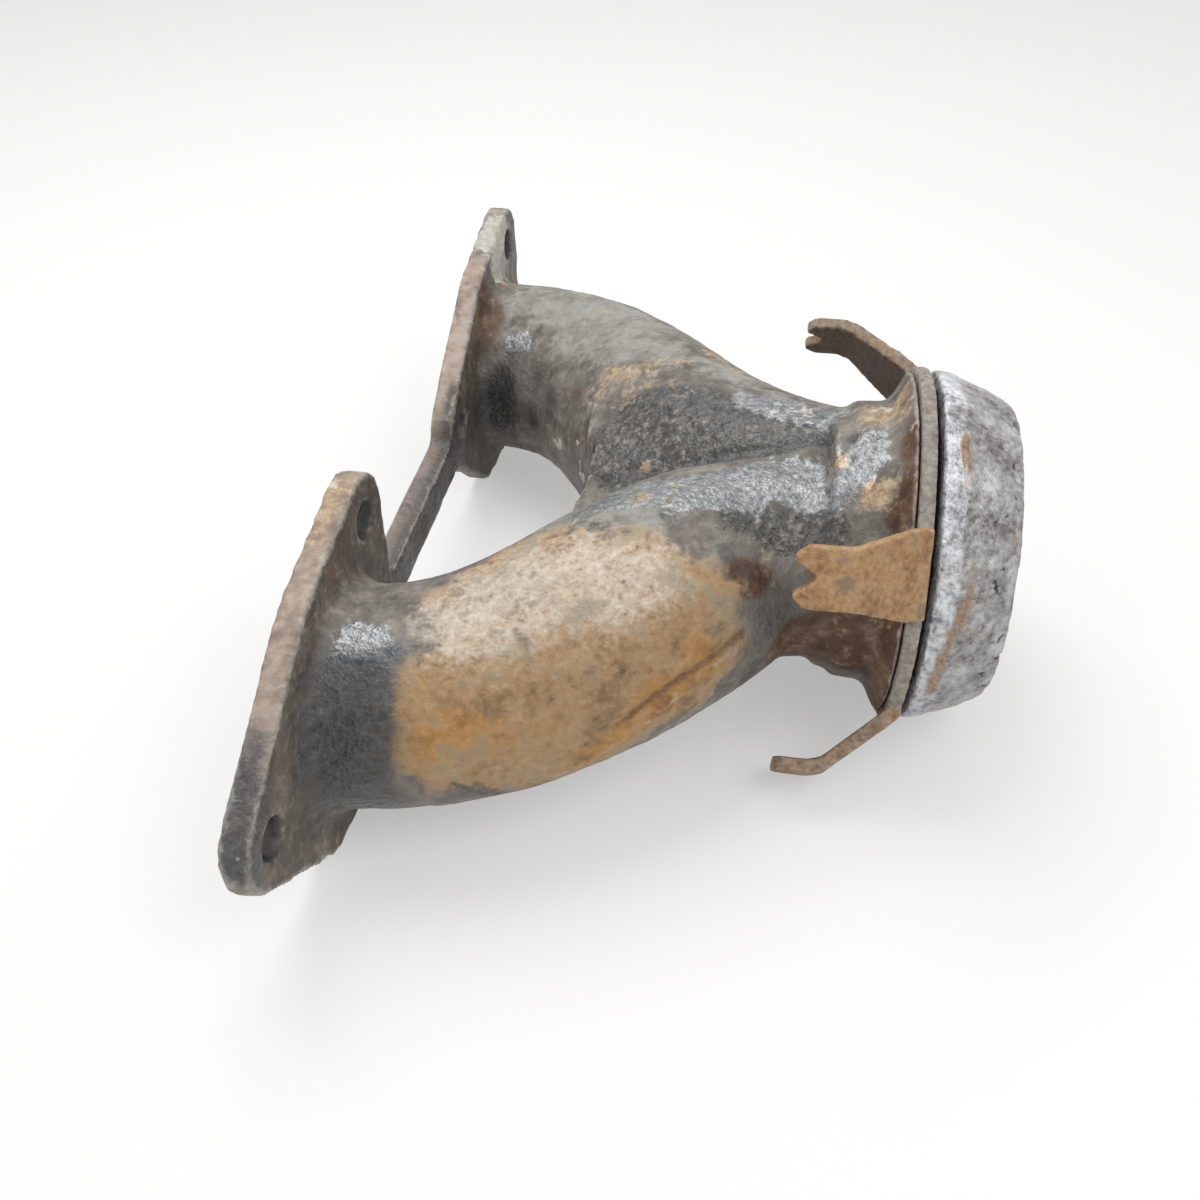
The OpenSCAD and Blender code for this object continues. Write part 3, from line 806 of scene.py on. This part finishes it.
# %% Lay the rust and the painted highlight on it
is_orange = iron.broken("orange", ragged, 0.25, 0.72)
is_deep = iron.times(iron.broken("deep", ragged, 0.25, 0.85), is_orange)
is_tan_and_highlight = iron.broken("tan", fuzzy, 0.0, 1.25)
greenish = iron.step(iron.blend((patch, 0.45), (mottle, 0.55)), 0.50, 0.62, 0.6)
pepper = iron.step(fine, 0.42, 0.34, 0.45)
colour = iron.coat(iron.broken("brown", ragged, 0.32, 0.70), colour, brown)
colour = iron.coat(is_orange, colour, orange)
colour = iron.coat(is_deep, colour, deep)
# The tan coat paints a highlight on top of the near pipe as well as pale rust.
colour = iron.coat(iron.times(is_tan_and_highlight, 0.9), colour, tan)
colour = iron.coat(iron.times(greenish, is_orange), colour, olive)
colour = iron.coat(iron.times(pepper, is_orange), colour, brown)
colour = iron.coat(iron.broken("ochre", fuzzy, 0.20, 0.95), colour, ochre)
print("brown, orange, tan and ochre rust laid")

# %% Lay the soot, the chalk, the wear and the painted light
is_smudge = iron.broken("smudge", fuzzy, 0.34, 0.74)
is_soot_and_shade = iron.broken("soot", ragged, 0.08, 0.88)
is_chalk_and_painted_light = iron.broken("chalk", fuzzy, 0.38, 0.60)
rubbed = iron.sums(iron.stored("edge"), iron.blend((grit, 0.9), (mottle, 0.5)))
is_crease = iron.broken("crease", fuzzy, 0.35, 0.95)
is_seam = iron.broken("seam", fuzzy, 0.3, 0.9)
colour = iron.coat(iron.times(is_smudge, 0.65), colour, black)
# Soot in near black, which in the crotch is painted shade as well.
colour = iron.coat(iron.times(is_soot_and_shade, 0.93), colour, black)
# Chalky drips, with a painted reflection on the far flange's face and a painted highlight on the web.
colour = iron.coat(iron.times(is_chalk_and_painted_light, 0.85), colour, chalky_and_painted_light)
colour = iron.coat(iron.step(rubbed, 1.15, 1.7, 0.4), colour, chalky_and_painted_light)
# Points in hollows are painted darker.
colour = iron.coat(iron.step(iron.stored("hollow"), 0.2, 0.9, 0.65), colour, black)
colour = iron.coat(iron.times(is_crease, 0.7), colour, brown)
colour = iron.coat(iron.times(is_seam, 0.8), colour, black)
colour = iron.coat(iron.stored("duct"), colour, black)
print(iron.mat.name, "is painted with", len(iron.mat.node_tree.nodes), "nodes")

# %% [markdown]
# ## The iron's shine and relief
# Rust is dull. The grey skin, the coarse web and the soot are hard and glint, so they get a lower
# roughness, and the grit stands higher there. The relief could be more mesh, but grains under a millimetre
# are far too many for that, so it is bump: a height in millimetres, summed from the colours' grains.

# %% Give the iron its shine and relief
glint = iron.sums(is_grey_and_highlight, iron.sums(is_web, is_soot_and_shade, "MAXIMUM"), "MAXIMUM")
dull = iron.step(is_tan_and_highlight, 0, 1, 0.44, 0.64)
damp = iron.times(iron.sums(dull, 0.30, "SUBTRACT"), glint)
shine = iron.sums(iron.sums(dull, damp, "SUBTRACT"), iron.step(fine, 0.35, 0.65, 0.07, -0.07))
metal = iron.times(is_grey_and_highlight, iron.step(is_orange, 0, 1, 0.0, 0.45))
depth = iron.step(glint, 0, 1, 0.62, 0.30)
height = iron.blend((patch, 0.5), (mottle, 0.40), (spark, 0.16))
height = iron.sums(height, iron.times(grit, depth))
casting.data.materials.clear()
casting.data.materials.append(iron.finish(colour, shine, iron.relief(height), metal))

# %% [markdown]
# ## The hook ring
# The ring is stamped from steel sheet and its hooks are bent back over the seat. A die leaves the
# edges barely rounded. A bevel would do that, but the bends and notches cross at odd angles, so the ring
# is reskinned like the casting, with finer squares, which the same smoothing rounds less.

# %% Shape the hook ring
RING_SQUARE, RING_WAVE, RING_GRAIN = mm(0.62), mm(0.07), mm(0.05)
ring = piece_from(merged_copy("hook_ring", "hook_ring_steel"), "hook_ring_steel")
reskin(ring, RING_SQUARE)
smooth(ring, 2)
co, no = points_of(ring)
waves = RING_WAVE * lumps(co, mm(4), 2, 12.4) + RING_GRAIN * lumps(co, mm(1.8), 2, 30.2)
co = co + no * waves[:, None]
put_back(ring, co, *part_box("hook_ring"))
print("ring waves of up to", round(float(np.abs(waves).max() * 1000), 3), "mm")

# %% [markdown]
# ## Where the ring rusts
# The plate round the neck is barer than the hooks, the hooks' inner sides are dark, and the hooks at the
# back and below have aged to grey brown. All of that follows from where a point lies and how it faces.

# %% Store the ring's places
store(ring, "edge", ridges(ring, 5))
out_y, out_z = co[:, 1] - OUTLET.y, co[:, 2] - OUTLET.z
from_axis = np.hypot(out_y, out_z)
store(ring, "plate", 1 - ease(from_axis, mm(43), mm(45.5)))
store(ring, "inner", ease(-(out_y * no[:, 1] + out_z * no[:, 2]) / from_axis, 0.2, 0.7))
store(ring, "aged", np.maximum(ease(co[:, 1], mm(78), mm(90)), ease(-co[:, 2], mm(2), mm(14))))
print("hook reach", round(float(from_axis.max() * 1000), 1), "mm from the outlet's axis")

# %% [markdown]
# ## The ring's rust
# The steel has rusted evenly to orange brown, with darker patches. The plate shows bare grey steel with
# ochre flecks, and the edges are rubbed to ochre. All the ramps follow two grains, so that their spots
# keep together.

# %% Rust the hook ring
steel = Finish("rusted_stamped_steel")
patch = steel.grain(7, 3, 0.6)
pepper = steel.grain(1.5, 4, 0.65)
spark = steel.grain(0.6, 2, 0.5)
speckle = steel.blend((patch, 0.5), (pepper, 0.5))
rust = steel.shades(speckle, (0.38, (0.22, 0.105, 0.045)), (0.5, (0.405, 0.235, 0.110)),
                    (0.62, (0.51, 0.335, 0.18)))
bare = steel.shades(pepper, (0.35, (0.17, 0.165, 0.16)), (0.65, (0.38, 0.37, 0.35)))
dark = steel.shades(pepper, (0.35, (0.080, 0.054, 0.042)), (0.65, (0.19, 0.135, 0.105)))
ochre = steel.shades(pepper, (0.35, (0.36, 0.26, 0.16)), (0.65, (0.56, 0.46, 0.34)))
aged = steel.shades(pepper, (0.35, (0.12, 0.088, 0.070)), (0.65, (0.33, 0.27, 0.225)))
print(steel.mat.name, "has five colours")

# %% Lay the ring's coats
is_bare = steel.step(steel.sums(steel.stored("plate"), patch), 0.95, 1.35, 0.85)
is_flecked = steel.step(steel.sums(steel.stored("plate"), pepper), 1.52, 1.66, 0.7)
is_aged = steel.times(steel.stored("aged"), steel.step(patch, 0.35, 0.6, 0.85, 0.4))
is_inner = steel.step(steel.sums(steel.stored("inner"), steel.times(patch, 0.6)), 0.55, 1.1, 0.85)
is_rubbed = steel.step(steel.sums(steel.stored("edge"), pepper), 1.0, 1.5, 0.4)
colour = steel.coat(is_bare, rust, bare)
colour = steel.coat(is_flecked, colour, ochre)
colour = steel.coat(steel.step(patch, 0.57, 0.70, 0.6), colour, dark)
colour = steel.coat(is_aged, colour, aged)
colour = steel.coat(is_inner, colour, dark)
colour = steel.coat(is_rubbed, colour, ochre)
shine = steel.step(pepper, 0.3, 0.7, 0.82, 0.55)
height = steel.blend((patch, 0.3), (pepper, 0.34), (spark, 0.10))
ring.data.materials.clear()
ring.data.materials.append(steel.finish(colour, shine, steel.relief(height)))

# %% [markdown]
# ## The donut gasket
# The gasket is pressed from steel mesh and graphite. The joint has hammered its ball face smooth, in
# lines that run round it, and its outer rim has crumbled into pits and splits. Bump alone would leave a
# clean outline, so the lines, the worn ledge and the pits are real dents in the skin.

# %% Skin the gasket and find its way round
GASKET_SQUARE, PIT_DEPTH = mm(0.72), mm(0.8)
gasket = piece_from(merged_copy("donut_gasket", "pressed_gasket"), "pressed_gasket")
reskin(gasket, GASKET_SQUARE)
smooth(gasket, 2)
co, no = points_of(gasket)
radial = np.hypot(co[:, 1] - OUTLET.y, co[:, 2] - OUTLET.z)
turn = np.arctan2(co[:, 2] - OUTLET.z, co[:, 1] - OUTLET.y)
outer = ease(radial, mm(30), mm(33))
print("gasket radius", round(float(radial.max() * 1000), 1), "mm")

# %% Dent the gasket
HAMMERED, UNEVEN, CRUSHED, LEDGE_STEP = mm(0.15), mm(0.20), mm(0.12), mm(0.30)
wrap = np.stack([co[:, 0] * 2.2, np.cos(turn) * mm(10), np.sin(turn) * mm(10)], 1)
ring_lines = lumps(wrap, mm(3.6), 2, 17.7)
crumble = ease(co[:, 0], mm(143.5), mm(150)) * ease(radial, mm(33), mm(37))
dents = ease(lumps(co, mm(3.2), 3, 2.9), 0.30, 0.55) * crumble
wobble = mm(0.7) * lumps(co, mm(12), 2, 4.4)
ledge = ease(co[:, 0] + wobble, mm(139.6), mm(140.8)) * outer
push = HAMMERED * ring_lines + UNEVEN * lumps(co, mm(7), 2, 9.1) + CRUSHED * lumps(co, mm(2.4), 2, 6.6)
push = outer * push - LEDGE_STEP * ledge - PIT_DEPTH * dents
co = co + no * push[:, None]
put_back(gasket, co, *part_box("donut_gasket"))
print("gasket dents up to", round(float(dents.max() * PIT_DEPTH * 1000), 2), "mm deep")

# %% [markdown]
# ## Streaks, pits and the crevice
# Rust has run round the gasket in short streaks, so each spot is squashed along the axis. The pits are
# black, and so is the bore. The narrow crevice beside the ring is painted near black: a painted shadow in
# the gap between the gasket and the ring.

# %% Store the gasket's places
FLAT_SPOT = (0.28, 1, 1)
STREAKS = [(140, 41, 50, 7, 1.0), (139, 47, 51, 4, 0.7), (141.5, 21, 23, 6, 0.9),
           (139.5, 18, 14, 7, 0.9), (138.5, 20, 3, 7, 1.0), (143, 24, 28, 5, 0.6),
           (151, 31, 38, 5, 0.8), (147, 52, 52, 5, 0.6), (145, 22, 18, 6, 0.6), (140, 90, 40, 8, 0.8),
           (143, 100, 5, 9, 0.7), (150, 70, 50, 5, 0.5)]
store(gasket, "streak", stain(co, STREAKS, FLAT_SPOT))
store(gasket, "pits", dents)
store(gasket, "rim", ledge)
# The crevice's mask, where the painted shadow in the gap goes.
store(gasket, "crevice", 1 - ease(co[:, 0], mm(134.4), mm(134.9)))
store(gasket, "inner", 1 - outer)
print(len(STREAKS), "streaks stored")

# %% [markdown]
# ## The gasket's finish
# The ball face is bright crushed metal and graphite, and the part past the ledge is duller and browner.
# It shines more where it is light, because the same blows that smoothed it also cleaned it.

# %% Mix the gasket's colours
graphite = Finish("crushed_gasket")
patch = graphite.grain(9, 3, 0.6)
crush = graphite.grain(3.0, 3, 0.6, 0.4)
pepper = graphite.grain(1.2, 3, 0.6)
along_ring = graphite.grain(2.4, 3, 0.6, 0.3, (2.2, 0.6, 0.6))
speckle = graphite.blend((patch, 0.35), (crush, 0.35), (pepper, 0.3))
body = graphite.shades(speckle, (0.40, (0.20, 0.20, 0.21)), (0.49, (0.50, 0.507, 0.525)),
                       (0.59, (0.78, 0.79, 0.81)))
worn = graphite.shades(speckle, (0.39, (0.12, 0.107, 0.095)), (0.5, (0.27, 0.255, 0.235)),
                       (0.61, (0.48, 0.47, 0.45)))
rust = graphite.shades(pepper, (0.35, (0.21, 0.125, 0.075)), (0.65, (0.40, 0.29, 0.20)))
black = graphite.shades(pepper, (0.35, (0.012, 0.010, 0.010)), (0.65, (0.05, 0.045, 0.042)))
print(graphite.mat.name, "has four colours")

# %% Lay the gasket's coats
# A painted shadow, in near-black red, for the crevice beside the ring.
PAINTED_CREVICE_SHADE = (0.022, 0.008, 0.008, 1)
ragged = graphite.sums(graphite.blend((along_ring, 1.2), (pepper, 0.8)), 1.0, "SUBTRACT")
crevice = graphite.stored("crevice")
colour = graphite.coat(graphite.times(graphite.stored("rim"), 0.75), body, worn)
colour = graphite.coat(graphite.broken("streak", ragged, 0.35, 0.95), colour, rust)
colour = graphite.coat(graphite.step(graphite.stored("pits"), 0.35, 0.8, 0.9), colour, black)
colour = graphite.coat(graphite.step(graphite.stored("inner"), 0.2, 0.8, 0.8), colour, black)
# Paint the crevice's shadow.
colour = graphite.coat(crevice, colour, PAINTED_CREVICE_SHADE)
shine = graphite.step(speckle, 0.40, 0.60, 0.48, 0.24)
metal = graphite.step(crevice, 0, 1, 0.0, 0.3)
height = graphite.blend((patch, 0.4), (crush, 0.50), (along_ring, 0.30), (pepper, 0.55))
gasket.data.materials.clear()
gasket.data.materials.append(graphite.finish(colour, shine, graphite.relief(height), metal))

# %% [markdown]
# ## Tying the pieces to the frame
# Each piece stands for its CAD node and rides on the part's one body. The skins are shaded smooth,
# because their squares are only there to carry the shape.

# %% Tie the pieces to the frame
for piece, node in ((casting, "casting"), (ring, "hook_ring"), (gasket, "donut_gasket")):
    for face in piece.data.polygons:
        face.use_smooth = True
    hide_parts(node)
    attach(piece, "root")
    piece.data.calc_loop_triangles()
    print(piece.name, len(piece.data.loop_triangles), "triangles")
